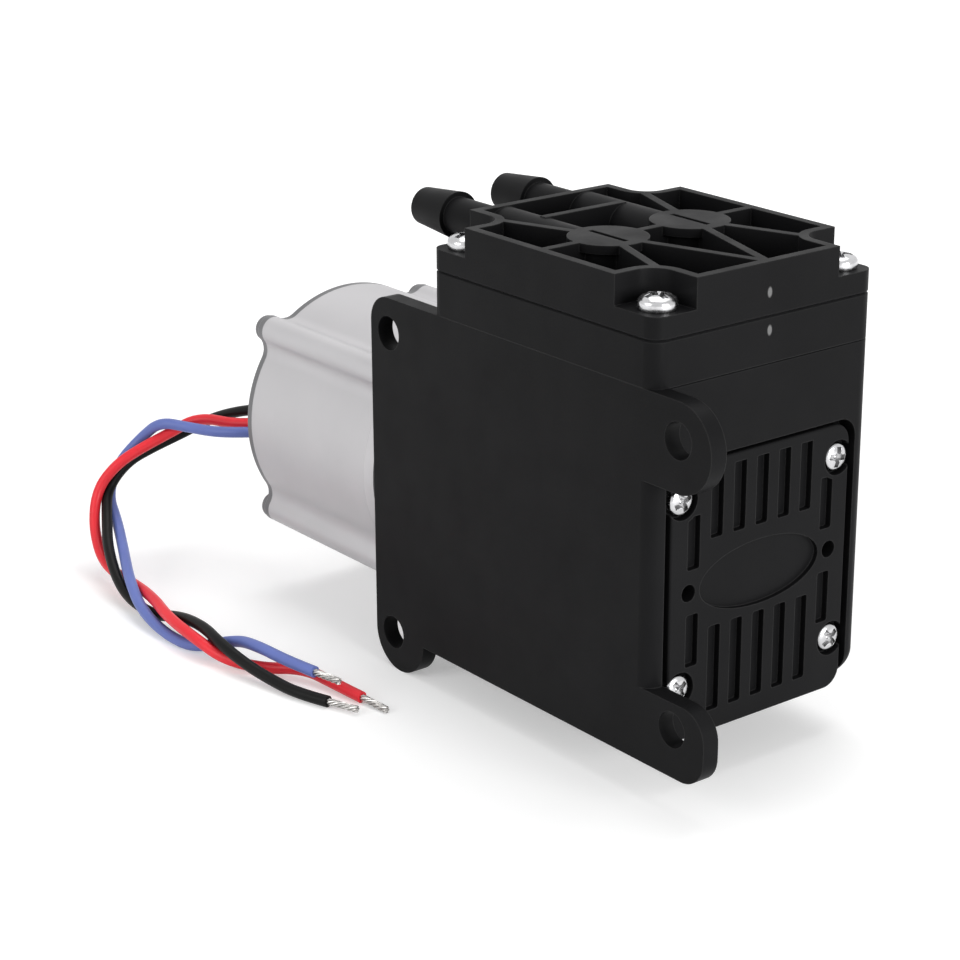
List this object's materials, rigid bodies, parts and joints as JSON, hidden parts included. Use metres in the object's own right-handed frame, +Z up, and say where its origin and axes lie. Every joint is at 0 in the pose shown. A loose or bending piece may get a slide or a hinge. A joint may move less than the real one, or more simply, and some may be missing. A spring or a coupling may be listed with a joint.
{
  "type": "electric diaphragm air pump",
  "caption": "Small motor-driven diaphragm air pump with a ribbed head, two hose barbs, ear-hole mounting plate and bare-ended leads.",
  "frame": {"origin": "on the mounting face, level with the motor shaft, midway between the rear and front ear holes", "axes": "+X along the shaft towards the front cover, +Y from the mounting face into the body, +Z up towards the head"},
  "size_m": [0.1448, 0.066, 0.0764],
  "materials": {
    "black_moulding": "fine matte",
    "motor_grey": "satin",
    "dark_plate": "brushed",
    "screw_steel": "plated",
    "bearing_steel": "ground",
    "lamination": "stacked sheet",
    "magnet": "sintered",
    "winding": "enamelled wire",
    "board_green": "lacquered",
    "chip_black": "matte",
    "alloy": "machined",
    "rod_plastic": "moulded",
    "rubber_black": "moulded",
    "flap_rubber": "moulded",
    "lead_red": "soft satin",
    "lead_black": "soft satin",
    "lead_blue": "soft satin",
    "tinned_copper": "tinned strands"
  },
  "bodies": {
    "pump_body": {"crankcase": "black_moulding", "front_cover": "black_moulding", "front_cover_screws": "screw_steel", "valve_plate": "black_moulding", "port_seals": "rubber_black", "head_cover": "black_moulding", "head_screws": "screw_steel", "diaphragm": "rubber_black", "motor_housing": "motor_grey", "rear_cap": "dark_plate", "front_bracket": "alloy", "through_bolts": "dark_plate", "motor_screws": "screw_steel", "rear_bearing_outer": "bearing_steel", "front_bearing_outer": "bearing_steel", "preload_washer": "bearing_steel", "stator_core": "lamination", "stator_coils": "winding", "driver_board": "board_green", "board_components": "chip_black", "lead_grommet": "rubber_black", "red_lead": "lead_red", "black_lead": "lead_black", "blue_lead": "lead_blue", "red_conductor": "tinned_copper", "black_conductor": "tinned_copper", "blue_conductor": "tinned_copper"},
    "rotor": {"motor_shaft": "bearing_steel", "rotor_core": "lamination", "rotor_magnets": "magnet", "rear_bearing_inner": "bearing_steel", "front_bearing_inner": "bearing_steel", "eccentric": "alloy", "bearing_clip": "bearing_steel", "counterweight": "dark_plate", "set_screw": "dark_plate", "rod_bearing_inner": "bearing_steel"},
    "rod": {"connecting_rod": "rod_plastic", "rod_bearing_outer": "bearing_steel", "diaphragm_clamp": "alloy", "clamp_screw": "screw_steel"},
    "inlet_valve": {"inlet_flap": "flap_rubber"},
    "outlet_valve": {"outlet_flap": "flap_rubber"}
  },
  "joints": [
    {"name": "rotor_spin", "type": "hinge", "parent": "pump_body", "child": "rotor", "pos_m": [0, 0.0211, 0], "axis": [1, 0, 0], "continuous": true},
    {"name": "rod_orbit", "type": "hinge", "parent": "rotor", "child": "rod", "pos_m": [0.003, 0.0211, -0.0015], "axis": [1, 0, 0], "continuous": true, "deforming": ["diaphragm"]},
    {"name": "inlet_flap_lift", "type": "hinge", "parent": "pump_body", "child": "inlet_valve", "pos_m": [0.0076, 0.0132, 0.0362], "axis": [0, -1, 0], "range_deg": [0, 8], "stiffness_Nm_per_rad": 0.0002},
    {"name": "outlet_flap_lift", "type": "hinge", "parent": "pump_body", "child": "outlet_valve", "pos_m": [0.0076, 0.029, 0.038], "axis": [0, 1, 0], "range_deg": [0, 8], "stiffness_Nm_per_rad": 0.0002}
  ],
  "couplings": [
    {"joint": "rod_orbit", "follows": "rotor_spin", "ratio": -1}
  ]
}
